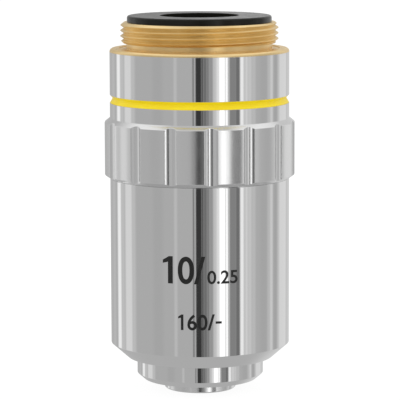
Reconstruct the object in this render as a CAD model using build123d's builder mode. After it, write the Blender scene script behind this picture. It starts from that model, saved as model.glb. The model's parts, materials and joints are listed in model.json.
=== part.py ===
from build123d import *
import os

# Microscope objective with a screw mount, a coloured band and a fluted grip ring.
# The origin is the centre of the mounting shoulder. +Z is the optical axis, towards the thread,
# so the nose points down. All sizes are in millimetres.

# Mounting thread and its shoulder
thread_r = 10.12  # outside of the 36 per inch objective thread
thread_neck_step = 0.82
thread_neck_height = 0.65
thread_top = 3.3
thread_lead_in = 0.4
rim_round = 0.45  # rounded edge of the shoulder
seat_relief = 0.1  # shallow recess round the neck, so that a port seats on the outer land
seat_land_clearance = 0.15  # the land starts this far outside the thread
seat_land_least = 0.4  # the body is at least wide enough for a land of this width
neck_wall = 1.1
mount_bore_step = 0.8
mount_spigot_length = 4.2
mount_spigot_step = 0.4  # how much wider the spigot's socket is than the bore below it

# Rear ring
rear_hole_r = 5.05
rear_lip_height = 0.84
rear_lip_overhang = 1.05
rear_spigot_length = 2.2
rear_plate_height = 1.4
rear_spigot_wall = 1.6
rear_edge_round = 0.28

# Walls and steps, from the lens stack outwards
stack_r = 6.9  # bore that the lens cells stack in
stack_clearance = 0.05
tip_wall = 1.25
tip_step = 0.65  # step from the tip up to the barrel's body
lock_ring_clearance = 0.15
lock_ring_width = 0.95
upper_wall = 1.6
flange_clearance = 0.05
sleeve_thread_wall = 0.8
sleeve_wall = 1.3
sleeve_gap = 0.2  # sleeve's front step to the barrel's body
tip_gap = 0.1  # sleeve's front hole to the tip
end_gap = 0.2  # room at the end of each screwed joint

# Outside heights, from the shoulder down
groove_top = 5.97
groove_height = 1.0
groove_root_drop = 0.39
groove_depth = 0.48
groove_lip = 0.12
enamel_thickness = 0.08
collar_height = 1.93
ring_height = 7.76
ring_step = 0.7
ring_top_bevel = 0.55  # height of the bevel from the collar out to the grip ring
ring_foot_bevel = 0.48  # height of the bevel from the grip ring in to the sleeve
sleeve_spigot_length = 3.7
sleeve_length = 21.35
cone_height = 1.85
cone_land = 1.15  # flat ring between the cone's end and the tip's hole
sleeve_front_wall = 1.1
tip_length = 2.92
tip_bevel_width = 0.85
tip_bevel_height = 0.75

# Flutes of the grip ring
flute_count = 15
flute_width = 1.65
flute_r = 1.27
flute_turn = 6.75  # degrees from the front of the object to the first flute

# Lens barrel and what holds it
shim_height = 0.3
shim_width = 2.4
flange_height = 3.5
lock_ring_height = 2.5
lock_slot_width = 1.2
lock_slot_depth = 0.9
barrel_front_wall = 2.45

# Nose ring and front lens
nose_r = 4.6
nose_height = 1.32
nose_chamfer = 0.15
nose_rim = 1.1  # width of the nose ring's front edge
nose_seat_width = 0.8
nose_spigot_wall = 1.0
nose_mouth_depth = 0.4
front_lens_lip = 0.4
front_lens_lip_height = 0.25
front_lens_edge = 1.3
front_lens_front_rise = 0.2
front_lens_rear_rise = 1.6

# Stack of cells, from the front seat upwards
spacer_wall = 1.1
cell_lip = 0.6  # width of the lip that a lens seats on
cell_lip_height = 0.6
front_spacer_height = 4.0
first_cell_height = 5.0
middle_spacer_height = 5.0
second_cell_height = 5.2
stop_height = 0.5
stop_hole_r = 4.0
rear_spacer_height = 5.5
rear_cell_height = 5.5
retainer_height = 1.5
retainer_width = 1.2
retainer_slot_width = 1.0
retainer_slot_depth = 0.7

# Cemented pairs. A rise is how far the middle of a face stands above its edge.
first_cell_wall = 2.25
first_front_edge = 1.8
first_rear_edge = 1.4
first_front_rise = 0.15
first_cement_rise = -1.0
first_rear_rise = 0.9

second_cell_wall = 1.85
second_front_edge = 1.6
second_rear_edge = 2.0
second_front_rise = -0.5
second_cement_rise = 0.9
second_rear_rise = 0.15

rear_cell_wall = 1.45
rear_front_edge = 1.6
rear_rear_edge = 2.2
rear_front_rise = -0.5
rear_cement_rise = 0.9
rear_rear_rise = -0.4

# Radii that follow from the walls and steps
thread_neck_r = thread_r - thread_neck_step
seat_land_r = thread_r + seat_land_clearance
rear_thread_r = thread_neck_r - neck_wall
rear_inner_r = rear_thread_r - rear_spigot_wall
mount_bore_r = rear_thread_r - mount_bore_step
tip_r = stack_r + tip_wall
barrel_r = tip_r + tip_step
lock_ring_inner_r = barrel_r + lock_ring_clearance
upper_bore_r = lock_ring_inner_r + lock_ring_width
flange_r = upper_bore_r - flange_clearance
body_r = max(upper_bore_r + upper_wall, seat_land_r + seat_land_least + rim_round)
ring_r = body_r + ring_step
mount_spigot_r = upper_bore_r + mount_spigot_step
sleeve_spigot_r = upper_bore_r + sleeve_thread_wall
sleeve_bore_r = body_r - sleeve_wall
sleeve_front_r = barrel_r + sleeve_gap
sleeve_hole_r = tip_r + tip_gap
cone_end_r = sleeve_hole_r + cone_land
cell_r = stack_r - stack_clearance
spacer_inner_r = cell_r - spacer_wall
first_lens_r = cell_r - first_cell_wall
second_lens_r = cell_r - second_cell_wall
rear_lens_r = cell_r - rear_cell_wall
retainer_hole_r = stack_r - retainer_width
nose_spigot_r = nose_r - nose_seat_width
nose_mouth_r = nose_r - nose_rim
front_lens_r = nose_spigot_r - nose_spigot_wall

# Heights that follow, all measured from the shoulder
rear_top = thread_top + rear_lip_height
rim_z = -rim_round
mount_bottom = rim_z - mount_spigot_length
groove_z = -groove_top
groove_root_z = groove_z - groove_root_drop
groove_end_z = groove_z - groove_height
ring_top_z = groove_end_z - collar_height
ring_foot_z = ring_top_z - ring_height
sleeve_spigot_z = ring_foot_z - sleeve_spigot_length
cone_top_z = ring_foot_z - sleeve_length
cone_end_z = cone_top_z - cone_height
barrel_front_z = cone_end_z - tip_length
nose_z = barrel_front_z - nose_height
flange_top_z = mount_bottom - shim_height
lock_ring_top_z = flange_top_z - flange_height
lock_ring_foot_z = lock_ring_top_z - lock_ring_height
sleeve_step_z = cone_end_z + sleeve_front_wall
barrel_step_z = sleeve_step_z + tip_gap
stack_seat_z = barrel_front_z + barrel_front_wall


def turned_ring(inner_r, outer_r, foot, height):
    """A plain ring about the optical axis."""
    with BuildPart() as ring:
        with BuildSketch(Plane.XY.offset(foot)):
            Circle(outer_r)
            Circle(inner_r, mode=Mode.SUBTRACT)
        extrude(amount=height)
    return ring


def lens_cell(lens_r, foot, height):
    """A ring that holds a lens from its rear end down to a lip at its front."""
    with BuildPart() as cell:
        with BuildSketch(Plane.XZ):
            with BuildLine():
                Polyline(
                    (lens_r - cell_lip, foot),
                    (cell_r, foot),
                    (cell_r, foot + height),
                    (lens_r, foot + height),
                    (lens_r, foot + cell_lip_height),
                    (lens_r - cell_lip, foot + cell_lip_height),
                    close=True,
                )
            make_face()
        revolve(axis=Axis.Z)
    return cell


def seat_lift(lens_r, front_rise):
    """How far a lens edge stands above its lip when the front face bulges down on to the lip."""
    if front_rise >= 0:
        return 0
    face_r = (lens_r**2 + front_rise**2) / (2 * abs(front_rise))
    lip_r = lens_r - cell_lip
    return (face_r**2 - lip_r**2) ** 0.5 - (face_r**2 - lens_r**2) ** 0.5


def ground_lens(lens_r, front_edge_z, edge_height, front_rise, rear_rise):
    """A round lens whose two faces are parts of spheres."""
    rear_edge_z = front_edge_z + edge_height
    with BuildPart() as lens:
        with BuildSketch(Plane.XZ):
            with BuildLine():
                TangentArc((0, front_edge_z + front_rise), (lens_r, front_edge_z), tangent=(1, 0))
                Line((lens_r, front_edge_z), (lens_r, rear_edge_z))
                TangentArc((0, rear_edge_z + rear_rise), (lens_r, rear_edge_z), tangent=(1, 0))
                Line((0, rear_edge_z + rear_rise), (0, front_edge_z + front_rise))
            make_face()
        revolve(axis=Axis.Z)
    return lens


os.makedirs("parts", exist_ok=True)

# Rear ring, black, screwed into the mount behind the thread
with BuildPart() as rear_stop_ring:
    with BuildSketch(Plane.XZ):
        with BuildLine():
            lip_r = rear_thread_r + rear_lip_overhang
            Polyline(
                (lip_r, rear_top - rear_edge_round),
                (lip_r, thread_top),
                (rear_thread_r, thread_top),
                (rear_thread_r, thread_top - rear_spigot_length),
                (rear_inner_r, thread_top - rear_spigot_length),
                (rear_inner_r, rear_top - rear_plate_height),
                (rear_hole_r, rear_top - rear_plate_height),
                (rear_hole_r, rear_top),
                (lip_r - rear_edge_round, rear_top),
            )
            TangentArc(
                (lip_r - rear_edge_round, rear_top), (lip_r, rear_top - rear_edge_round), tangent=(1, 0)
            )
        make_face()
    revolve(axis=Axis.Z)
rear_stop_ring.part.label = "rear_stop_ring"
export_step(rear_stop_ring.part, "parts/rear_stop_ring.step")

# Mount: bare brass with the objective thread, the locating shoulder and a screwed spigot.
# The thread is shown by its outside diameter.
with BuildPart() as thread_mount:
    with BuildSketch(Plane.XZ):
        with BuildLine():
            Polyline(
                (body_r, rim_z),
                (mount_spigot_r, rim_z),
                (mount_spigot_r, mount_bottom),
                (mount_bore_r, mount_bottom),
                (mount_bore_r, thread_top - rear_spigot_length - end_gap),
                (rear_thread_r, thread_top - rear_spigot_length - end_gap),
                (rear_thread_r, thread_top),
                (thread_r - thread_lead_in, thread_top),
                (thread_r, thread_top - thread_lead_in),
                (thread_r, thread_neck_height + thread_lead_in),
                (thread_r - thread_lead_in, thread_neck_height),
                (thread_neck_r, thread_neck_height),
                (thread_neck_r, -seat_relief),
                (seat_land_r, -seat_relief),
                (seat_land_r, 0),
                (body_r - rim_round, 0),
            )
            TangentArc((body_r - rim_round, 0), (body_r, rim_z), tangent=(1, 0))
        make_face()
    revolve(axis=Axis.Z)
thread_mount.part.label = "thread_mount"
export_step(thread_mount.part, "parts/thread_mount.step")

# Upper barrel: one chromed turning with the groove, the collar, the grip ring and the
# spigot that the sleeve screws on to. The flutes are milled along the grip ring.
with BuildPart() as upper_barrel:
    with BuildSketch(Plane.XZ):
        with BuildLine():
            Polyline(
                (body_r, rim_z),
                (body_r, groove_z),
                (body_r - groove_lip, groove_z),
                (body_r - groove_depth, groove_root_z),
                (body_r - groove_lip, groove_end_z),
                (body_r, groove_end_z),
                (body_r, ring_top_z),
                (ring_r, ring_top_z - ring_top_bevel),
                (ring_r, ring_foot_z + ring_foot_bevel),
                (body_r, ring_foot_z),
                (sleeve_spigot_r, ring_foot_z),
                (sleeve_spigot_r, sleeve_spigot_z),
                (upper_bore_r, sleeve_spigot_z),
                (upper_bore_r, flange_top_z),
                (mount_spigot_r, flange_top_z),
                (mount_spigot_r, rim_z),
                close=True,
            )
        make_face()
    revolve(axis=Axis.Z)
    flute_sagitta = flute_r - (flute_r**2 - (flute_width / 2) ** 2) ** 0.5
    flute_centre_r = (ring_r**2 - (flute_width / 2) ** 2) ** 0.5 - flute_sagitta + flute_r
    with BuildSketch(Plane.XY.offset(ring_foot_z)):
        with PolarLocations(flute_centre_r, flute_count, start_angle=flute_turn - 90):
            Circle(flute_r)
    extrude(amount=ring_height, mode=Mode.SUBTRACT)
upper_barrel.part.label = "upper_barrel"
export_step(upper_barrel.part, "parts/upper_barrel.step")

# Coloured enamel that lines the groove
with BuildPart() as color_band:
    with BuildSketch(Plane.XZ):
        with BuildLine():
            Polyline(
                (body_r - groove_lip, groove_z),
                (body_r - groove_lip + enamel_thickness, groove_z),
                (body_r - groove_depth + enamel_thickness, groove_root_z),
                (body_r - groove_lip + enamel_thickness, groove_end_z),
                (body_r - groove_lip, groove_end_z),
                (body_r - groove_depth, groove_root_z),
                close=True,
            )
        make_face()
    revolve(axis=Axis.Z)
color_band.part.label = "color_band"
export_step(color_band.part, "parts/color_band.step")

# Lower sleeve, screwed on under the grip ring, with the front cone
with BuildPart() as lower_sleeve:
    with BuildSketch(Plane.XZ):
        with BuildLine():
            Polyline(
                (sleeve_spigot_r, ring_foot_z),
                (body_r, ring_foot_z),
                (body_r, cone_top_z),
                (cone_end_r, cone_end_z),
                (sleeve_hole_r, cone_end_z),
                (sleeve_hole_r, sleeve_step_z),
                (sleeve_front_r, sleeve_step_z),
                (sleeve_bore_r, sleeve_step_z + sleeve_bore_r - sleeve_front_r),
                (sleeve_bore_r, sleeve_spigot_z - end_gap),
                (sleeve_spigot_r, sleeve_spigot_z - end_gap),
                close=True,
            )
        make_face()
    revolve(axis=Axis.Z)
lower_sleeve.part.label = "lower_sleeve"
export_step(lower_sleeve.part, "parts/lower_sleeve.step")

# Lens barrel: flange at the rear, stack bore inside, chromed tip at the front
with BuildPart() as lens_barrel:
    with BuildSketch(Plane.XZ):
        with BuildLine():
            Polyline(
                (stack_r, flange_top_z),
                (flange_r, flange_top_z),
                (flange_r, lock_ring_top_z),
                (barrel_r, lock_ring_top_z),
                (barrel_r, barrel_step_z),
                (tip_r, barrel_step_z),
                (tip_r, barrel_front_z + tip_bevel_height),
                (tip_r - tip_bevel_width, barrel_front_z),
                (nose_spigot_r, barrel_front_z),
                (nose_spigot_r, stack_seat_z),
                (stack_r, stack_seat_z),
                close=True,
            )
        make_face()
    revolve(axis=Axis.Z)
lens_barrel.part.label = "lens_barrel"
export_step(lens_barrel.part, "parts/lens_barrel.step")

# Shim between the mount and the lens barrel, which sets the focus distance
parfocal_shim = turned_ring(flange_r - shim_width, flange_r, flange_top_z, shim_height)
parfocal_shim.part.label = "parfocal_shim"
export_step(parfocal_shim.part, "parts/parfocal_shim.step")

# Slotted ring nut that clamps the lens barrel's flange
with BuildPart() as barrel_lock_ring:
    with BuildSketch(Plane.XY.offset(lock_ring_foot_z)):
        Circle(upper_bore_r)
        Circle(lock_ring_inner_r, mode=Mode.SUBTRACT)
    extrude(amount=lock_ring_height)
    with BuildSketch(Plane.XY.offset(lock_ring_foot_z)):
        Rectangle(2 * body_r, lock_slot_width)
    extrude(amount=lock_slot_depth, mode=Mode.SUBTRACT)
barrel_lock_ring.part.label = "barrel_lock_ring"
export_step(barrel_lock_ring.part, "parts/barrel_lock_ring.step")

# Nose ring: the cell of the front lens, screwed into the tip
with BuildPart() as front_cell:
    lens_opening_r = front_lens_r - front_lens_lip
    lens_seat_z = nose_z + nose_mouth_depth + front_lens_lip_height
    with BuildSketch(Plane.XZ):
        with BuildLine():
            Polyline(
                (nose_mouth_r, nose_z),
                (nose_r - nose_chamfer, nose_z),
                (nose_r, nose_z + nose_chamfer),
                (nose_r, barrel_front_z),
                (nose_spigot_r, barrel_front_z),
                (nose_spigot_r, stack_seat_z - end_gap),
                (front_lens_r, stack_seat_z - end_gap),
                (front_lens_r, lens_seat_z),
                (lens_opening_r, lens_seat_z),
                (lens_opening_r, nose_z + nose_mouth_depth),
                close=True,
            )
        make_face()
    revolve(axis=Axis.Z)
front_cell.part.label = "front_cell"
export_step(front_cell.part, "parts/front_cell.step")

front_lens = ground_lens(
    front_lens_r, lens_seat_z, front_lens_edge, front_lens_front_rise, front_lens_rear_rise
)
front_lens.part.label = "front_lens"
export_step(front_lens.part, "parts/front_lens.step")

# Stack in the lens barrel, from the front seat upwards
front_spacer = turned_ring(spacer_inner_r, cell_r, stack_seat_z, front_spacer_height)
front_spacer.part.label = "front_spacer"
export_step(front_spacer.part, "parts/front_spacer.step")

first_cell_z = stack_seat_z + front_spacer_height
first_lens_z = first_cell_z + cell_lip_height + seat_lift(first_lens_r, first_front_rise)
first_doublet_cell = lens_cell(first_lens_r, first_cell_z, first_cell_height)
first_doublet_cell.part.label = "first_doublet_cell"
export_step(first_doublet_cell.part, "parts/first_doublet_cell.step")

first_doublet_flint = ground_lens(
    first_lens_r, first_lens_z, first_front_edge, first_front_rise, first_cement_rise
)
first_doublet_flint.part.label = "first_doublet_flint"
export_step(first_doublet_flint.part, "parts/first_doublet_flint.step")

first_doublet_crown = ground_lens(
    first_lens_r, first_lens_z + first_front_edge, first_rear_edge, first_cement_rise, first_rear_rise
)
first_doublet_crown.part.label = "first_doublet_crown"
export_step(first_doublet_crown.part, "parts/first_doublet_crown.step")

middle_spacer_z = first_cell_z + first_cell_height
middle_spacer = turned_ring(spacer_inner_r, cell_r, middle_spacer_z, middle_spacer_height)
middle_spacer.part.label = "middle_spacer"
export_step(middle_spacer.part, "parts/middle_spacer.step")

second_cell_z = middle_spacer_z + middle_spacer_height
second_lens_z = second_cell_z + cell_lip_height + seat_lift(second_lens_r, second_front_rise)
second_doublet_cell = lens_cell(second_lens_r, second_cell_z, second_cell_height)
second_doublet_cell.part.label = "second_doublet_cell"
export_step(second_doublet_cell.part, "parts/second_doublet_cell.step")

second_doublet_crown = ground_lens(
    second_lens_r, second_lens_z, second_front_edge, second_front_rise, second_cement_rise
)
second_doublet_crown.part.label = "second_doublet_crown"
export_step(second_doublet_crown.part, "parts/second_doublet_crown.step")

second_doublet_flint = ground_lens(
    second_lens_r, second_lens_z + second_front_edge, second_rear_edge, second_cement_rise, second_rear_rise
)
second_doublet_flint.part.label = "second_doublet_flint"
export_step(second_doublet_flint.part, "parts/second_doublet_flint.step")

stop_z = second_cell_z + second_cell_height
aperture_stop = turned_ring(stop_hole_r, cell_r, stop_z, stop_height)
aperture_stop.part.label = "aperture_stop"
export_step(aperture_stop.part, "parts/aperture_stop.step")

rear_spacer_z = stop_z + stop_height
rear_spacer = turned_ring(spacer_inner_r, cell_r, rear_spacer_z, rear_spacer_height)
rear_spacer.part.label = "rear_spacer"
export_step(rear_spacer.part, "parts/rear_spacer.step")

rear_cell_z = rear_spacer_z + rear_spacer_height
rear_lens_z = rear_cell_z + cell_lip_height + seat_lift(rear_lens_r, rear_front_rise)
rear_doublet_cell = lens_cell(rear_lens_r, rear_cell_z, rear_cell_height)
rear_doublet_cell.part.label = "rear_doublet_cell"
export_step(rear_doublet_cell.part, "parts/rear_doublet_cell.step")

rear_doublet_crown = ground_lens(
    rear_lens_r, rear_lens_z, rear_front_edge, rear_front_rise, rear_cement_rise
)
rear_doublet_crown.part.label = "rear_doublet_crown"
export_step(rear_doublet_crown.part, "parts/rear_doublet_crown.step")

rear_doublet_flint = ground_lens(
    rear_lens_r, rear_lens_z + rear_front_edge, rear_rear_edge, rear_cement_rise, rear_rear_rise
)
rear_doublet_flint.part.label = "rear_doublet_flint"
export_step(rear_doublet_flint.part, "parts/rear_doublet_flint.step")

# Slotted ring that screws down on the stack
with BuildPart() as stack_retainer:
    retainer_z = rear_cell_z + rear_cell_height
    with BuildSketch(Plane.XY.offset(retainer_z)):
        Circle(stack_r)
        Circle(retainer_hole_r, mode=Mode.SUBTRACT)
    extrude(amount=retainer_height)
    with BuildSketch(Plane.XY.offset(retainer_z + retainer_height)):
        Rectangle(2 * body_r, retainer_slot_width)
    extrude(amount=-retainer_slot_depth, mode=Mode.SUBTRACT)
stack_retainer.part.label = "stack_retainer"
export_step(stack_retainer.part, "parts/stack_retainer.step")
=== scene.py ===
"""Looks of a screw-mount microscope objective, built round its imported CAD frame."""

import json
import math

import bmesh
import bpy
from mathutils import Matrix, Vector

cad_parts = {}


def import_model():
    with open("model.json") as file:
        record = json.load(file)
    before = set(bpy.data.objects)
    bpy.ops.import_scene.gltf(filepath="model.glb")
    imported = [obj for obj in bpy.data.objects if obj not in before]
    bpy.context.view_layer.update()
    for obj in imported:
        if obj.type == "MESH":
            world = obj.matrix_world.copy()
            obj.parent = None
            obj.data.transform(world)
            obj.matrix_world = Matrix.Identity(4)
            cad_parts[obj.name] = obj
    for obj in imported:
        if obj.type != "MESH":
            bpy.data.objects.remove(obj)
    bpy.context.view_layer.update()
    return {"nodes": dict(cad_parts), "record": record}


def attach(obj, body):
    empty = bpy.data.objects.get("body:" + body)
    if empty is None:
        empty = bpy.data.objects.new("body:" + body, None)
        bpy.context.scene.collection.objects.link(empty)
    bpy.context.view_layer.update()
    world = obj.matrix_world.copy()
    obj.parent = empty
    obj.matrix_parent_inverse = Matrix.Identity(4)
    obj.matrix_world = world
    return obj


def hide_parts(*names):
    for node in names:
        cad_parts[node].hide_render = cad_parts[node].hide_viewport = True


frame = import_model()

MM = 0.001
SEGMENTS = 360
ROUND_STEPS = 4

# Sizes of the turned pieces in millimetres. The origin is the middle of the mounting shoulder.
BODY_R = 11.5
RIM_ROUND = 0.45
RIM_Z = -RIM_ROUND

THREAD_R = 10.12
THREAD_PITCH = 25.4 / 36
THREAD_DEPTH = 0.6403 * THREAD_PITCH  # the depth of a Whitworth thread
THREAD_CREST_Z = 0.484  # height of a crest on the +X side
THREAD_SHARPNESS = 0.96  # 1 is a plain V, lower values round the crests and the roots
THREAD_LEAD_IN = 0.4
THREAD_FOOT_Z = 0.65
THREAD_TOP_Z = 3.3
THREAD_ROWS_PER_PITCH = 24
NECK_R = 9.3
NECK_ROOT_ROUND = 0.04
SEAT_LAND_R = 10.27
SEAT_RELIEF = 0.1
REAR_THREAD_R = 8.2
REAR_SPIGOT_LENGTH = 2.2
END_GAP = 0.2
MOUNT_BORE_R = 7.4
MOUNT_SPIGOT_R = 10.3
MOUNT_SPIGOT_LENGTH = 4.2
MOUNT_FOOT_Z = RIM_Z - MOUNT_SPIGOT_LENGTH

REAR_TOP_Z = 4.14
REAR_LIP_R = 9.25
REAR_HOLE_R = 5.05
REAR_INNER_R = 6.6
REAR_PLATE = 1.4
REAR_EDGE_ROUND = 0.28

GROOVE_TOP_Z = -5.97
GROOVE_ROOT_Z = -6.36
GROOVE_END_Z = -6.97
GROOVE_DEPTH = 0.48
GROOVE_LIP = 0.12
ENAMEL = 0.08
ENAMEL_VALLEY = 0.12  # rounding of the enamel at the groove's root

RING_TOP_Z = -8.9
RING_FOOT_Z = -16.66
RING_R = 12.2
RING_TOP_BEVEL = 0.55
RING_FOOT_BEVEL = 0.48
FLUTE_COUNT = 15
FLUTE_WIDTH = 1.65
FLUTE_R = 1.27
FLUTE_TURN = 6.75  # degrees from the front of the object to the first flute
FLUTE_STEPS = 18
LAND_STEPS = 12
EDGE_ROUND = 0.05  # rounding of the edges between the flutes and the lands

UPPER_BORE_R = 9.9
SLEEVE_SPIGOT_R = 10.7
SLEEVE_SPIGOT_LENGTH = 3.7
SLEEVE_SPIGOT_Z = RING_FOOT_Z - SLEEVE_SPIGOT_LENGTH
SHIM_HEIGHT = 0.3
FLANGE_TOP_Z = MOUNT_FOOT_Z - SHIM_HEIGHT
FLANGE_HEIGHT = 3.5
FLANGE_FOOT_Z = FLANGE_TOP_Z - FLANGE_HEIGHT
FLANGE_R = 9.85

SLEEVE_LENGTH = 21.35
CONE_HEIGHT = 1.85
CONE_TOP_Z = RING_FOOT_Z - SLEEVE_LENGTH
CONE_END_Z = CONE_TOP_Z - CONE_HEIGHT
CONE_END_R = 9.4
CONE_END_ROUND = 0.1
CONE_TOP_ROUND = 0.06
SLEEVE_HOLE_R = 8.25
SLEEVE_BORE_R = 10.2
SLEEVE_FRONT_R = 9.0
SLEEVE_FRONT_WALL = 1.1
SLEEVE_STEP_Z = CONE_END_Z + SLEEVE_FRONT_WALL

BARREL_R = 8.8
TIP_R = 8.15
TIP_LENGTH = 2.92
TIP_FOOT_Z = CONE_END_Z - TIP_LENGTH
TIP_BEVEL_WIDTH = 0.85
TIP_BEVEL_HEIGHT = 0.75
TIP_GAP = 0.1
TIP_STEP_Z = SLEEVE_STEP_Z + TIP_GAP
STACK_R = 6.9
BARREL_FRONT_WALL = 2.45
STACK_SEAT_Z = TIP_FOOT_Z + BARREL_FRONT_WALL

NOSE_R = 4.6
NOSE_HEIGHT = 1.32
NOSE_Z = TIP_FOOT_Z - NOSE_HEIGHT
NOSE_CHAMFER = 0.15
NOSE_MOUTH_R = 3.5
NOSE_MOUTH_DEPTH = 0.4
NOSE_MOUTH_ROUND = 0.04
NOSE_SPIGOT_R = 3.8
FRONT_LENS_R = 2.8
LENS_OPENING_R = 2.4
LENS_LIP_HEIGHT = 0.25
LENS_SEAT_Z = NOSE_Z + NOSE_MOUTH_DEPTH + LENS_LIP_HEIGHT

# Roundings of the turned edges, from nearly sharp to broken with a file
FINE_EDGE = 0.02
CRISP_EDGE = 0.03
CUT_EDGE = 0.05
BROKEN_EDGE = 0.08
SEAM_EDGE = 0.12


def sized(vector):
    """The vector at length one."""
    length = math.sqrt(sum(v * v for v in vector))
    return tuple(v / length for v in vector)


def turned(corners):
    """Rows of a closed outline, given as (radius, height, rounding) counterclockwise.

    A row is (radius, height, normal before it, normal after it), each normal being
    (outwards, round, up).
    """
    rows = []
    for i, (r, z, rounding) in enumerate(corners):
        last_r, last_z, _ = corners[i - 1]
        next_r, next_z, _ = corners[(i + 1) % len(corners)]
        in_r, in_z = sized((r - last_r, z - last_z))
        out_r, out_z = sized((next_r - r, next_z - z))
        before = (in_z, 0.0, -in_r)
        after = (out_z, 0.0, -out_r)
        if rounding == 0:
            rows.append((r, z, before, after))
            continue
        turn = math.atan2(in_r * out_z - in_z * out_r, in_r * out_r + in_z * out_z)
        side = math.copysign(1.0, turn)
        setback = rounding * math.tan(abs(turn) / 2)
        centre_r = r - in_r * setback - side * rounding * before[0]
        centre_z = z - in_z * setback - side * rounding * before[2]
        for step in range(ROUND_STEPS + 1):
            angle = turn * step / ROUND_STEPS
            c, s = math.cos(angle), math.sin(angle)
            normal = (before[0] * c - before[2] * s, 0.0, before[0] * s + before[2] * c)
            round_r = centre_r + side * rounding * normal[0]
            round_z = centre_z + side * rounding * normal[2]
            rows.append((round_r, round_z, normal, normal))
    return rows


def skin(name, columns):
    """A closed mesh through columns of rows, and the row that each face starts at.

    A column is (angle, rows), with as many rows in each.
    """
    verts, index = [], []
    for angle, rows in columns:
        line = []
        for r, z, _, _ in rows:
            line.append(len(verts))
            verts.append((r * math.cos(angle) * MM, r * math.sin(angle) * MM, z * MM))
        index.append(line)

    def world(column, normal):
        """The normal turned to its column's place."""
        angle = columns[column][0]
        c, s = math.cos(angle), math.sin(angle)
        return (normal[0] * c - normal[1] * s, normal[0] * s + normal[1] * c, normal[2])

    count = len(columns)
    rows_in = len(columns[0][1])
    faces, normals, bands = [], [], []
    for j in range(count):
        n = (j + 1) % count
        for k in range(rows_in):
            m = (k + 1) % rows_in
            faces.append([index[j][k], index[n][k], index[n][m], index[j][m]])
            normals.append(world(j, columns[j][1][k][3]))
            normals.append(world(n, columns[n][1][k][3]))
            normals.append(world(n, columns[n][1][m][2]))
            normals.append(world(j, columns[j][1][m][2]))
            bands.append(k)
    mesh = bpy.data.meshes.new(name)
    mesh.from_pydata(verts, [], faces)
    mesh.polygons.foreach_set("use_smooth", [True] * len(faces))
    mesh.normals_split_custom_set(normals)
    mesh.update()
    piece = bpy.data.objects.new(name, mesh)
    bpy.context.scene.collection.objects.link(piece)
    return piece, bands


def lathe(name, rows):
    """A piece turned about the optical axis."""
    columns = [(2 * math.pi * j / SEGMENTS, rows) for j in range(SEGMENTS)]
    return skin(name, columns)[0]


def dress(piece, node, slot, *materials):
    """Puts a finished piece in the place of a CAD node."""
    for material in materials:
        piece.data.materials.append(material)
    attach(piece, "root")
    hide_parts(node)
    return piece


class Shader:
    """A short way to write one material's nodes."""

    def __init__(self, name):
        self.material = bpy.data.materials.new(name)
        self.material.use_nodes = True
        self.nodes = self.material.node_tree.nodes
        self.links = self.material.node_tree.links
        self.surface = self.nodes["Principled BSDF"]

    def set(self, **values):
        for key, value in values.items():
            self.surface.inputs[key.replace("_", " ")].default_value = value

    def node(self, kind, **settings):
        made = self.nodes.new(kind)
        for key, value in settings.items():
            setattr(made, key, value)
        return made

    def join(self, source, target):
        self.links.new(source, target)

    def position(self, scale):
        """Object coordinates in millimetres, times a scale for each axis."""
        where = self.node("ShaderNodeTexCoord")
        mapping = self.node("ShaderNodeMapping")
        mapping.inputs["Scale"].default_value = [s / MM for s in scale]
        self.join(where.outputs["Object"], mapping.inputs["Vector"])
        return mapping.outputs["Vector"]

    def noise(self, scale, detail=4.0, rough=0.55):
        """Noise whose grains are about one over the scale, in millimetres, along each axis."""
        texture = self.node("ShaderNodeTexNoise")
        texture.inputs["Scale"].default_value = 1.0
        texture.inputs["Detail"].default_value = detail
        texture.inputs["Roughness"].default_value = rough
        self.join(self.position(scale), texture.inputs["Vector"])
        return texture.outputs["Fac"]

    def span(self, source, low, high, start=0.3, end=0.7):
        """The source, spread from low to high."""
        spread = self.node("ShaderNodeMapRange")
        for key, value in (("From Min", start), ("From Max", end), ("To Min", low), ("To Max", high)):
            spread.inputs[key].default_value = value
        self.join(source, spread.inputs["Value"])
        return spread.outputs["Result"]

    def tint(self, source, low, high):
        """A colour between low and high."""
        mixed = self.node("ShaderNodeMix", data_type="RGBA")
        mixed.inputs[6].default_value = (*low, 1.0)
        mixed.inputs[7].default_value = (*high, 1.0)
        self.join(source, mixed.inputs[0])
        return mixed.outputs[2]

    def relief(self, source, depth_mm):
        """A bump of that depth."""
        bump = self.node("ShaderNodeBump")
        bump.inputs["Distance"].default_value = depth_mm * MM
        bump.inputs["Strength"].default_value = 1.0
        self.join(source, bump.inputs["Height"])
        self.join(bump.outputs["Normal"], self.surface.inputs["Normal"])


def chrome(name, low, high, line_depth):
    """Bright chrome plate with faint polishing lines round it and a little haze."""
    shader = Shader(name)
    shader.set(Base_Color=(0.785, 0.785, 0.785, 1.0), Metallic=1.0)
    haze = shader.noise((0.35, 0.35, 0.35))
    shader.join(shader.span(haze, low, high), shader.surface.inputs["Roughness"])
    shader.relief(shader.noise((0.3, 0.3, 22.0), detail=3.0), line_depth)
    return shader.material


def brass():
    """Bare turned brass, a little darker where it has toned."""
    shader = Shader("bare_brass")
    shader.set(Metallic=1.0)
    tone = shader.span(shader.noise((0.5, 0.5, 0.9)), 0.0, 1.0)
    colour = shader.tint(tone, (0.92, 0.68, 0.32), (0.96, 0.74, 0.39))
    shader.join(colour, shader.surface.inputs["Base Color"])
    lines = shader.noise((0.5, 0.5, 26.0), detail=3.0)
    shader.join(shader.span(lines, 0.3, 0.42), shader.surface.inputs["Roughness"])
    shader.relief(lines, 0.0012)
    return shader.material


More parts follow.
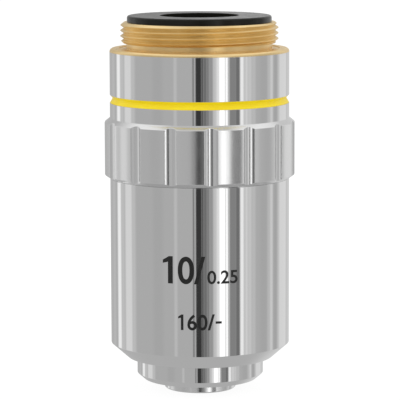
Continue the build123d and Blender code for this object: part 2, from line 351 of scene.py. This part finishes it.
def black_anodised():
    """Smooth black anodising with a fine grain."""
    shader = Shader("black_anodised")
    shader.set(Specular_IOR_Level=0.18)
    grain = shader.noise((9.0, 9.0, 9.0))
    colour = shader.tint(shader.span(grain, 0.0, 1.0), (0.007, 0.007, 0.005), (0.012, 0.012, 0.009))
    shader.join(colour, shader.surface.inputs["Base Color"])
    shader.join(shader.span(shader.noise((0.8, 0.8, 0.8)), 0.17, 0.25), shader.surface.inputs["Roughness"])
    shader.relief(grain, 0.0006)
    return shader.material


def enamel():
    """Yellow enamel, run into the groove by hand."""
    shader = Shader("yellow_enamel")
    shader.set(Specular_IOR_Level=0.25)
    flow = shader.span(shader.noise((0.5, 0.5, 2.0)), 0.0, 1.0)
    colour = shader.tint(flow, (0.92, 0.7, 0.006), (0.95, 0.76, 0.012))
    shader.join(colour, shader.surface.inputs["Base Color"])
    shader.join(shader.span(shader.noise((1.2, 1.2, 1.2)), 0.32, 0.42), shader.surface.inputs["Roughness"])
    shader.relief(shader.noise((0.4, 0.4, 1.5), detail=1.0), 0.002)
    return shader.material


def glass():
    """Coated optical glass."""
    shader = Shader("lens_glass")
    shader.set(
        Base_Color=(0.9, 0.94, 0.97, 1.0), Transmission_Weight=1.0, IOR=1.52, Roughness=0.0,
        Thin_Film_Thickness=330.0, Thin_Film_IOR=1.38,
    )
    return shader.material


def ink():
    """Black printing ink."""
    shader = Shader("black_ink")
    shader.set(Specular_IOR_Level=0.4)
    cover = shader.span(shader.noise((6.0, 6.0, 6.0)), 0.0, 1.0)
    colour = shader.tint(cover, (0.006, 0.006, 0.006), (0.014, 0.014, 0.013))
    shader.join(colour, shader.surface.inputs["Base Color"])
    shader.join(shader.span(shader.noise((3.0, 3.0, 3.0)), 0.38, 0.5), shader.surface.inputs["Roughness"])
    return shader.material


polished = chrome("chrome_polished", 0.03, 0.055, 0.00004)
satin = chrome("chrome_satin", 0.14, 0.17, 0.0001)
brass_material = brass()
black = black_anodised()
yellow = enamel()
lens = glass()
black_ink = ink()


def brass_mount():
    """Mount with its real thread, a right-hand helix."""
    plain = turned([
        (MOUNT_BORE_R, MOUNT_FOOT_Z, 0.0),
        (MOUNT_SPIGOT_R, MOUNT_FOOT_Z, 0.0),
        (MOUNT_SPIGOT_R, RIM_Z, 0.0),
        (BODY_R, RIM_Z, 0.0),
        (BODY_R, 0.0, RIM_ROUND),
        (SEAT_LAND_R, 0.0, CRISP_EDGE),
        (SEAT_LAND_R, -SEAT_RELIEF, 0.0),
        (NECK_R, -SEAT_RELIEF, NECK_ROOT_ROUND),
        (NECK_R, THREAD_FOOT_Z, 0.0),
        (THREAD_R, THREAD_FOOT_Z, 0.0),
        (THREAD_R, THREAD_TOP_Z, 0.0),
        (REAR_THREAD_R, THREAD_TOP_Z, CRISP_EDGE),
        (REAR_THREAD_R, THREAD_TOP_Z - REAR_SPIGOT_LENGTH - END_GAP, 0.0),
        (MOUNT_BORE_R, THREAD_TOP_Z - REAR_SPIGOT_LENGTH - END_GAP, 0.0),
    ])
    # The two rows of the plain wall make way for the thread's
    is_wall = [r == THREAD_R for r, _, _, _ in plain]
    first = is_wall.index(True)
    below, above = plain[:first], plain[first + 2:]

    def radius(angle, z):
        turns = (z - THREAD_CREST_Z) / THREAD_PITCH - angle / (2 * math.pi)
        wave = math.asin(THREAD_SHARPNESS * math.cos(2 * math.pi * turns)) / math.asin(THREAD_SHARPNESS)
        cut = THREAD_R - THREAD_DEPTH * (1 - wave) / 2
        start = THREAD_R - THREAD_LEAD_IN
        return min(cut, start + z - THREAD_FOOT_Z, start + THREAD_TOP_Z - z)

    rows_in = round((THREAD_TOP_Z - THREAD_FOOT_Z) / THREAD_PITCH * THREAD_ROWS_PER_PITCH)
    tick = 1e-4
    columns = []
    for j in range(SEGMENTS):
        angle = 2 * math.pi * j / SEGMENTS
        thread = []
        for k in range(rows_in + 1):
            z = THREAD_FOOT_Z + (THREAD_TOP_Z - THREAD_FOOT_Z) * k / rows_in
            r = radius(angle, z)
            slope = (radius(angle, z + tick) - radius(angle, z - tick)) / (2 * tick)
            twist = (radius(angle + tick, z) - radius(angle - tick, z)) / (2 * tick) / r
            normal = sized((1.0, -twist, -slope))
            before = (0.0, 0.0, -1.0) if k == 0 else normal
            after = (0.0, 0.0, 1.0) if k == rows_in else normal
            thread.append((r, z, before, after))
        columns.append((angle, below + thread + above))
    piece, _ = skin("brass_mount", columns)
    return dress(piece, "thread_mount", "bare_brass", brass_material)


def rear_ring():
    """Black ring with the hole that the light leaves by."""
    plate_z = REAR_TOP_Z - REAR_PLATE
    piece = lathe("black_rear_ring", turned([
        (REAR_INNER_R, THREAD_TOP_Z - REAR_SPIGOT_LENGTH, 0.0),
        (REAR_THREAD_R, THREAD_TOP_Z - REAR_SPIGOT_LENGTH, 0.0),
        (REAR_THREAD_R, THREAD_TOP_Z, 0.0),
        (REAR_LIP_R, THREAD_TOP_Z, CRISP_EDGE),
        (REAR_LIP_R, REAR_TOP_Z, REAR_EDGE_ROUND),
        (REAR_HOLE_R, REAR_TOP_Z, BROKEN_EDGE),
        (REAR_HOLE_R, plate_z, CUT_EDGE),
        (REAR_INNER_R, plate_z, 0.0),
    ]))
    return dress(piece, "rear_stop_ring", "black_anodised", black)


def ring_section():
    """Angle, radius and wall direction of the grip ring's fluted outline, once round."""
    sagitta = FLUTE_R - math.sqrt(FLUTE_R**2 - (FLUTE_WIDTH / 2) ** 2)
    centre = math.sqrt(RING_R**2 - (FLUTE_WIDTH / 2) ** 2) - sagitta + FLUTE_R
    reach = math.asin(FLUTE_WIDTH / 2 / FLUTE_R)
    edge = math.asin(FLUTE_WIDTH / 2 / RING_R)
    pitch = 2 * math.pi / FLUTE_COUNT
    points = []

    def flute_point(a):
        return centre - FLUTE_R * math.cos(a), FLUTE_R * math.sin(a), math.atan2(-math.sin(a), math.cos(a))

    def land_point(a):
        return RING_R * math.cos(a), RING_R * math.sin(a), a

    def corner(first, second, turn):
        """The rounded edge between two points, whose outlines meet at that angle."""
        edge_x, edge_y = RING_R * math.cos(turn), RING_R * math.sin(turn)
        x = (first[0] + second[0]) / 4 + edge_x / 2
        y = (first[1] + second[1]) / 4 + edge_y / 2
        return x, y, (first[2] + second[2]) / 2

    for i in range(FLUTE_COUNT):
        middle = math.radians(FLUTE_TURN - 90) + i * pitch
        trimmed = reach - EDGE_ROUND / FLUTE_R
        land_start = edge + EDGE_ROUND / RING_R
        land_end = pitch - land_start
        local = [flute_point(-trimmed + 2 * trimmed * s / FLUTE_STEPS) for s in range(FLUTE_STEPS + 1)]
        local.append(corner(local[-1], land_point(land_start), edge))
        local.extend(
            land_point(land_start + (land_end - land_start) * s / LAND_STEPS) for s in range(LAND_STEPS + 1)
        )
        next_flute = flute_point(-trimmed)
        c, s = math.cos(pitch), math.sin(pitch)
        ahead = (
            next_flute[0] * c - next_flute[1] * s,
            next_flute[0] * s + next_flute[1] * c,
            next_flute[2] + pitch,
        )
        local.append(corner(local[-1], ahead, pitch - edge))
        for x, y, facing in local:
            turn = math.atan2(y, x)
            points.append((middle + turn, math.hypot(x, y), facing - turn))
    return points


def upper_barrel():
    """Chromed barrel with the groove and the fluted grip ring."""
    plain = turned([
        (UPPER_BORE_R, SLEEVE_SPIGOT_Z, 0.0),
        (SLEEVE_SPIGOT_R, SLEEVE_SPIGOT_Z, 0.0),
        (SLEEVE_SPIGOT_R, RING_FOOT_Z, 0.0),
        (RING_R, RING_FOOT_Z, 0.0),
        (RING_R, RING_TOP_Z, 0.0),
        (BODY_R, RING_TOP_Z, 0.0),
        (BODY_R, GROOVE_END_Z, CRISP_EDGE),
        (BODY_R - GROOVE_LIP, GROOVE_END_Z, 0.0),
        (BODY_R - GROOVE_DEPTH, GROOVE_ROOT_Z, 0.0),
        (BODY_R - GROOVE_LIP, GROOVE_TOP_Z, 0.0),
        (BODY_R, GROOVE_TOP_Z, CRISP_EDGE),
        (BODY_R, RIM_Z, CRISP_EDGE),
        (MOUNT_SPIGOT_R, RIM_Z, 0.0),
        (MOUNT_SPIGOT_R, FLANGE_TOP_Z, 0.0),
        (UPPER_BORE_R, FLANGE_TOP_Z, 0.0),
    ])
    # The three rows of the plain ring make way for those of the fluted one
    below, above = plain[:3], plain[6:]
    wall = (1.0, 0.0, 0.0)
    foot_bevel = sized((RING_FOOT_BEVEL, 0.0, BODY_R - RING_R))
    top_bevel = sized((RING_TOP_BEVEL, 0.0, RING_R - BODY_R))
    foot_rise = RING_FOOT_BEVEL / (RING_R - BODY_R)
    top_rise = RING_TOP_BEVEL / (RING_R - BODY_R)
    columns = []
    for angle, r, lean in ring_section():
        face = (math.cos(lean), math.sin(lean), 0.0)
        low_z = RING_FOOT_Z + foot_rise * (r - BODY_R)
        high_z = RING_TOP_Z - top_rise * (r - BODY_R)
        low_edge = sized([a + b for a, b in zip(foot_bevel, face)])
        high_edge = sized([a + b for a, b in zip(top_bevel, face)])
        inset = EDGE_ROUND / 4
        ring = [
            (BODY_R, RING_FOOT_Z, (0.0, 0.0, -1.0), foot_bevel),
            (r - EDGE_ROUND, low_z - EDGE_ROUND * foot_rise, foot_bevel, foot_bevel),
            (r - inset, low_z + inset * foot_rise, low_edge, low_edge),
            (r, low_z + EDGE_ROUND, face, face),
            (r, high_z - EDGE_ROUND, face, face),
            (r - inset, high_z - inset * top_rise, high_edge, high_edge),
            (r - EDGE_ROUND, high_z + EDGE_ROUND * top_rise, top_bevel, top_bevel),
            (BODY_R, RING_TOP_Z, top_bevel, wall),
        ]
        columns.append((angle, below + ring + above))
    piece, bands = skin("chromed_upper_barrel", columns)
    dress(piece, "upper_barrel", "chrome_plate", polished, satin)
    ring_rows = range(len(below), len(below) + len(ring) - 1)
    piece.data.polygons.foreach_set("material_index", [1 if k in ring_rows else 0 for k in bands])
    return piece


def enamel_band():
    """Enamel that lines the groove, with a soft valley at its root."""
    lip_r = BODY_R - GROOVE_LIP
    root_r = BODY_R - GROOVE_DEPTH
    piece = lathe("enamel_band", turned([
        (root_r, GROOVE_ROOT_Z, 0.0),
        (lip_r, GROOVE_END_Z, 0.0),
        (lip_r + ENAMEL, GROOVE_END_Z, FINE_EDGE),
        (root_r + ENAMEL, GROOVE_ROOT_Z, ENAMEL_VALLEY),
        (lip_r + ENAMEL, GROOVE_TOP_Z, FINE_EDGE),
        (lip_r, GROOVE_TOP_Z, 0.0),
    ]))
    return dress(piece, "color_band", "yellow_enamel", yellow)


def lower_sleeve():
    """Plain chromed sleeve with the cone at its foot."""
    piece = lathe("chromed_sleeve", turned([
        (SLEEVE_HOLE_R, CONE_END_Z, CRISP_EDGE),
        (CONE_END_R, CONE_END_Z, CONE_END_ROUND),
        (BODY_R, CONE_TOP_Z, CONE_TOP_ROUND),
        (BODY_R, RING_FOOT_Z, SEAM_EDGE),
        (SLEEVE_SPIGOT_R, RING_FOOT_Z, 0.0),
        (SLEEVE_SPIGOT_R, SLEEVE_SPIGOT_Z - END_GAP, 0.0),
        (SLEEVE_BORE_R, SLEEVE_SPIGOT_Z - END_GAP, 0.0),
        (SLEEVE_BORE_R, SLEEVE_STEP_Z + SLEEVE_BORE_R - SLEEVE_FRONT_R, 0.0),
        (SLEEVE_FRONT_R, SLEEVE_STEP_Z, 0.0),
        (SLEEVE_HOLE_R, SLEEVE_STEP_Z, 0.0),
    ]))
    return dress(piece, "lower_sleeve", "chrome_plate", polished)


def lens_barrel():
    """Barrel of the lens stack, whose bevelled front is the tip."""
    piece = lathe("chromed_lens_barrel", turned([
        (NOSE_SPIGOT_R, TIP_FOOT_Z, 0.0),
        (TIP_R - TIP_BEVEL_WIDTH, TIP_FOOT_Z, BROKEN_EDGE),
        (TIP_R, TIP_FOOT_Z + TIP_BEVEL_HEIGHT, BROKEN_EDGE),
        (TIP_R, TIP_STEP_Z, 0.0),
        (BARREL_R, TIP_STEP_Z, 0.0),
        (BARREL_R, FLANGE_FOOT_Z, 0.0),
        (FLANGE_R, FLANGE_FOOT_Z, 0.0),
        (FLANGE_R, FLANGE_TOP_Z, CUT_EDGE),
        (STACK_R, FLANGE_TOP_Z, CUT_EDGE),
        (STACK_R, STACK_SEAT_Z, 0.0),
        (NOSE_SPIGOT_R, STACK_SEAT_Z, 0.0),
    ]))
    return dress(piece, "lens_barrel", "chrome_plate", polished)


def nose_ring():
    """Cell of the front lens, a little duller than the rest."""
    piece = lathe("chromed_nose_ring", turned([
        (NOSE_MOUTH_R, NOSE_Z, NOSE_MOUTH_ROUND),
        (NOSE_R - NOSE_CHAMFER, NOSE_Z, CUT_EDGE),
        (NOSE_R, NOSE_Z + NOSE_CHAMFER, CUT_EDGE),
        (NOSE_R, TIP_FOOT_Z, 0.0),
        (NOSE_SPIGOT_R, TIP_FOOT_Z, 0.0),
        (NOSE_SPIGOT_R, STACK_SEAT_Z - END_GAP, 0.0),
        (FRONT_LENS_R, STACK_SEAT_Z - END_GAP, 0.0),
        (FRONT_LENS_R, LENS_SEAT_Z, 0.0),
        (LENS_OPENING_R, LENS_SEAT_Z, FINE_EDGE),
        (LENS_OPENING_R, NOSE_Z + NOSE_MOUTH_DEPTH, FINE_EDGE),
    ]))
    return dress(piece, "front_cell", "chrome_plate", satin)


def carried_nodes():
    """The CAD pieces that stay take their materials from their slots."""
    finish = {
        "chrome_plate": polished,
        "bare_brass": brass_material,
        "black_anodised": black,
        "yellow_enamel": yellow,
        "lens_glass": lens,
    }
    slots = {s["node"]: s["material_slot"] for s in frame["record"]["subparts"]}
    for name, node in frame["nodes"].items():
        for place in node.material_slots:
            place.material = finish[slots[name]]


# Printed figures, as an objective of any make carries its power, its aperture and its tube length.
# Each has its left and right end round the sleeve, its foot and its top.
FIGURES = [
    # text, left end, right end, foot, top
    ("1", -4.78, -3.45, -28.72, -25.27),
    ("0", -2.8, -0.73, -28.75, -25.27),
    ("/", -0.75, 0.66, -28.75, -25.27),
    ("0.25", 0.91, 4.84, -28.75, -27.05),
    ("1", -2.78, -2.1, -34.58, -32.6),
    ("60", -1.6, 0.93, -34.6, -32.58),
    ("/", 0.95, 1.85, -34.6, -32.58),
    ("-", 1.95, 2.74, -33.78, -33.48),
]
# The one's outline, in shares of its width and height
ONE = [(0.52, 0.0), (1.0, 0.0), (1.0, 1.0), (0.62, 1.0), (0.0, 0.86), (0.0, 0.74), (0.52, 0.79)]
INK_PROUD = 0.012
INK_SUNK = 0.01
FIGURE_WEIGHT = 0.018  # outward growth of each stroke's edge, as a share of the font's size
HALF_PLATE = 0.5  # half the flat plate's thickness, before it is thinned to a coat
SLICE = 0.25  # longest stretch that stays flat when the plate is wrapped


def figure_mesh(text):
    """A flat plate in the shape of the figures. The one has a flag, which the built-in font lacks."""
    if text == "1":
        count = len(ONE)
        mesh = bpy.data.meshes.new("figure")
        verts = [(x, y, z) for z in (-HALF_PLATE, HALF_PLATE) for x, y in ONE]
        sides = [(i, (i + 1) % count, (i + 1) % count + count, i + count) for i in range(count)]
        mesh.from_pydata(verts, [], [tuple(range(count))[::-1], tuple(range(count, 2 * count)), *sides])
        return mesh
    curve = bpy.data.curves.new("figure", "FONT")
    curve.body = text
    curve.size = 1.0
    curve.extrude = HALF_PLATE
    curve.offset = FIGURE_WEIGHT
    curve.resolution_u = 12
    source = bpy.data.objects.new("figure", curve)
    bpy.context.scene.collection.objects.link(source)
    mesh = bpy.data.meshes.new_from_object(source)
    bpy.data.objects.remove(source)
    bpy.data.curves.remove(curve)
    return mesh


def printed_figures():
    """Figures wrapped round the sleeve as a thin coat of ink."""
    joined = bmesh.new()
    for text, left, right, foot, top in FIGURES:
        mesh = figure_mesh(text)
        part = bmesh.new()
        part.from_mesh(mesh)
        bpy.data.meshes.remove(mesh)
        low_x, high_x = min(v.co.x for v in part.verts), max(v.co.x for v in part.verts)
        low_y, high_y = min(v.co.y for v in part.verts), max(v.co.y for v in part.verts)
        for v in part.verts:
            v.co.x = left + (v.co.x - low_x) / (high_x - low_x) * (right - left)
            v.co.y = foot + (v.co.y - low_y) / (high_y - low_y) * (top - foot)
        for i in range(math.ceil(left / SLICE), math.floor(right / SLICE) + 1):
            bmesh.ops.bisect_plane(
                part, geom=part.verts[:] + part.edges[:] + part.faces[:],
                plane_co=(i * SLICE, 0, 0), plane_no=(1, 0, 0), dist=1e-6,
            )
        for v in part.verts:
            angle = v.co.x / BODY_R - math.pi / 2
            r = BODY_R + (INK_PROUD if v.co.z > 0 else -INK_SUNK)
            v.co = Vector((r * math.cos(angle) * MM, r * math.sin(angle) * MM, v.co.y * MM))
        wrapped = bpy.data.meshes.new("figure")
        part.to_mesh(wrapped)
        part.free()
        joined.from_mesh(wrapped)
        bpy.data.meshes.remove(wrapped)
    bmesh.ops.recalc_face_normals(joined, faces=joined.faces)
    mesh = bpy.data.meshes.new("printed_figures")
    joined.to_mesh(mesh)
    joined.free()
    mesh.materials.append(black_ink)
    piece = bpy.data.objects.new("printed_figures", mesh)
    bpy.context.scene.collection.objects.link(piece)
    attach(piece, "root")
    return piece


brass_mount()
rear_ring()
upper_barrel()
enamel_band()
lower_sleeve()
lens_barrel()
nose_ring()
carried_nodes()
printed_figures()

# Camera, from the photograph: seen from the front and a little above
FOCAL_PIXELS = 2483.1
PHOTO_WIDTH = 400
SENSOR = 36.0
VIEW_RISE = math.radians(7.596)
VIEW_AIM = Vector((0.026, 0.0, -19.664)) * MM
VIEW_DISTANCE = 320.02 * MM
VIEW_ROLL = math.radians(-0.157)


def camera():
    """The photograph's camera: long, a little above the object and hardly rolled."""
    data = bpy.data.cameras.new("camera")
    data.sensor_width = SENSOR
    data.lens = FOCAL_PIXELS / PHOTO_WIDTH * SENSOR
    data.clip_start = 0.01
    data.clip_end = 20.0
    eye = bpy.data.objects.new("camera", data)
    bpy.context.scene.collection.objects.link(eye)
    away = Vector((0.0, -math.cos(VIEW_RISE), math.sin(VIEW_RISE)))
    turn = (-away).to_track_quat("-Z", "Y").to_matrix().to_4x4()
    eye.matrix_world = (
        Matrix.Translation(VIEW_AIM + away * VIEW_DISTANCE) @ turn @ Matrix.Rotation(VIEW_ROLL, 4, "Z")
    )
    bpy.context.scene.camera = eye


# Studio round the object, as upright strips. Angles are in degrees from the front, positive to
# the right; a strip runs from its first angle to its second at its level, and fades over its
# softness at both ends. A later strip lies over an earlier one.
OPEN_LEVEL = 0.5
STRIPS = [
    # first angle, last angle, level, softness
    (-190, -150, 0.5, 4.0),
    (-150, -139, 0.56, 3.0),
    (-132, -122, 1.02, 3.0),
    (-121, -114, 0.63, 2.0),
    (-112, -97, 0.8, 3.0),
    (-97, -91, 0.62, 3.0),
    (-62, -48, 0.47, 4.0),
    (-33, -29, 0.6, 1.5),
    (-9, -7, 0.24, 0.8),
    (-5, 2.2, 0.045, 0.9),
    (2.2, 4.8, 0.11, 1.0),
    (4.8, 9, 0.19, 1.0),
    (9, 12, 0.25, 1.0),
    (12, 17, 0.37, 1.2),
    (17, 21, 0.64, 1.5),
    (21, 25, 0.9, 2.0),
    (25, 32.3, 1.5, 1.5),
    (32.3, 33.6, 0.95, 0.4),
    (33.6, 36.2, 1.3, 0.6),
    (36.2, 38.6, 0.6, 1.0),
    (38.6, 47, 0.27, 1.0),
    (47, 52, 0.19, 1.0),
    (53.2, 58, 1.02, 1.0),
    (58, 60.5, 0.68, 0.7),
    (60.5, 64, 0.77, 1.0),
    (64, 70, 0.68, 1.5),
    (70, 76, 0.6, 2.0),
    (84, 96, 0.47, 4.0),
    (97, 102, 0.58, 2.0),
    (102, 108, 0.72, 2.0),
    (111, 117, 0.46, 2.5),
    (119, 123, 0.62, 2.5),
    (123, 148, 0.8, 3.0),
    (148, 190, 0.66, 5.0),
]
# Above and below the strips. A height is the upward part of a direction of length one, and each
# pair is where the level starts to change and where it has changed.
UPPER_HEIGHTS = (0.45, 0.8)
UPPER_LEVEL = 1.0
ZENITH_HEIGHTS = (0.88, 0.96)
ZENITH_LEVEL = 0.68
LOWER_HEIGHTS = (-0.8, -0.45)
LOWER_LEVEL = 0.5
SOFT_HEIGHTS = (-0.5, 0.5)
SOFT_LIGHT_ABOVE = 1.12
SOFT_LIGHT_BELOW = 0.5


def studio():
    """White to the eye and through glass, strips to polished metal, soft light from above to the rest."""
    world = bpy.data.worlds.new("studio")
    bpy.context.scene.world = world
    world.use_nodes = True
    nodes, links = world.node_tree.nodes, world.node_tree.links
    nodes.clear()

    def math_node(operation, first, second=None):
        made = nodes.new("ShaderNodeMath")
        made.operation = operation
        for place, value in enumerate((first, second)):
            if value is None:
                continue
            if isinstance(value, (int, float)):
                made.inputs[place].default_value = value
            else:
                links.new(value, made.inputs[place])
        return made.outputs[0]

    def rising(source, start, end, low=0.0, high=1.0):
        made = nodes.new("ShaderNodeMapRange")
        made.interpolation_type = "SMOOTHSTEP"
        for key, value in (("From Min", start), ("From Max", end), ("To Min", low), ("To Max", high)):
            made.inputs[key].default_value = value
        links.new(source, made.inputs["Value"])
        return made.outputs["Result"]

    def blend(share, first, second):
        made = nodes.new("ShaderNodeMix")
        made.data_type = "FLOAT"
        for place, value in ((0, share), (2, first), (3, second)):
            if isinstance(value, (int, float)):
                made.inputs[place].default_value = value
            else:
                links.new(value, made.inputs[place])
        return made.outputs[0]

    where = nodes.new("ShaderNodeTexCoord")
    split = nodes.new("ShaderNodeSeparateXYZ")
    links.new(where.outputs["Generated"], split.inputs[0])
    across, along, height = split.outputs
    angle = math_node("ARCTAN2", across, math_node("MULTIPLY", along, -1.0))
    angle = math_node("MULTIPLY", angle, 180 / math.pi)
    level = OPEN_LEVEL
    for first, last, strength, softness in STRIPS:
        inside = rising(angle, first - softness, first + softness)
        outside = rising(angle, last - softness, last + softness)
        level = blend(math_node("SUBTRACT", inside, outside), level, strength)
    level = blend(rising(height, *UPPER_HEIGHTS), level, UPPER_LEVEL)
    level = blend(rising(height, *ZENITH_HEIGHTS), level, ZENITH_LEVEL)
    level = blend(rising(height, *LOWER_HEIGHTS), LOWER_LEVEL, level)

    path = nodes.new("ShaderNodeLightPath")
    seen = math_node("MAXIMUM", path.outputs["Is Camera Ray"], path.outputs["Is Transmission Ray"])
    soft = rising(height, *SOFT_HEIGHTS, SOFT_LIGHT_BELOW, SOFT_LIGHT_ABOVE)
    level = blend(path.outputs["Is Glossy Ray"], soft, level)
    level = blend(seen, level, 1.0)
    light = nodes.new("ShaderNodeBackground")
    light.inputs["Color"].default_value = (1.0, 1.0, 1.0, 1.0)
    links.new(level, light.inputs["Strength"])
    out = nodes.new("ShaderNodeOutputWorld")
    links.new(light.outputs[0], out.inputs["Surface"])


FLOOR_SIZE = 3.0
FLOOR_GAP = 0.02
FLOOR_GLOW = 0.93
FLOOR_SHADE = 0.12
FLOOR_LIGHTNESS = 0.8


def floor():
    """A pale floor that shows the object's soft shadow and stays out of its reflections."""
    half = FLOOR_SIZE / 2
    z = (NOSE_Z - FLOOR_GAP) * MM
    mesh = bpy.data.meshes.new("floor")
    corners = [(-half, -half, z), (half, -half, z), (half, half, z), (-half, half, z)]
    mesh.from_pydata(corners, [], [(0, 1, 2, 3)])
    piece = bpy.data.objects.new("floor", mesh)
    bpy.context.scene.collection.objects.link(piece)
    material = bpy.data.materials.new("pale_floor")
    material.use_nodes = True
    nodes, links = material.node_tree.nodes, material.node_tree.links
    nodes.clear()
    path = nodes.new("ShaderNodeLightPath")
    glow = nodes.new("ShaderNodeEmission")
    glow.inputs["Strength"].default_value = FLOOR_GLOW
    matt = nodes.new("ShaderNodeBsdfDiffuse")
    matt.inputs["Color"].default_value = (FLOOR_SHADE, FLOOR_SHADE, FLOOR_SHADE, 1.0)
    seen = nodes.new("ShaderNodeAddShader")
    plain = nodes.new("ShaderNodeBsdfDiffuse")
    plain.inputs["Color"].default_value = (FLOOR_LIGHTNESS, FLOOR_LIGHTNESS, FLOOR_LIGHTNESS, 1.0)
    mix = nodes.new("ShaderNodeMixShader")
    out = nodes.new("ShaderNodeOutputMaterial")
    links.new(glow.outputs[0], seen.inputs[0])
    links.new(matt.outputs[0], seen.inputs[1])
    links.new(path.outputs["Is Camera Ray"], mix.inputs[0])
    links.new(plain.outputs[0], mix.inputs[1])
    links.new(seen.outputs[0], mix.inputs[2])
    links.new(mix.outputs[0], out.inputs["Surface"])
    mesh.materials.append(material)
    piece.visible_glossy = False


camera()
studio()
floor()

bpy.context.scene.view_settings.view_transform = "Standard"
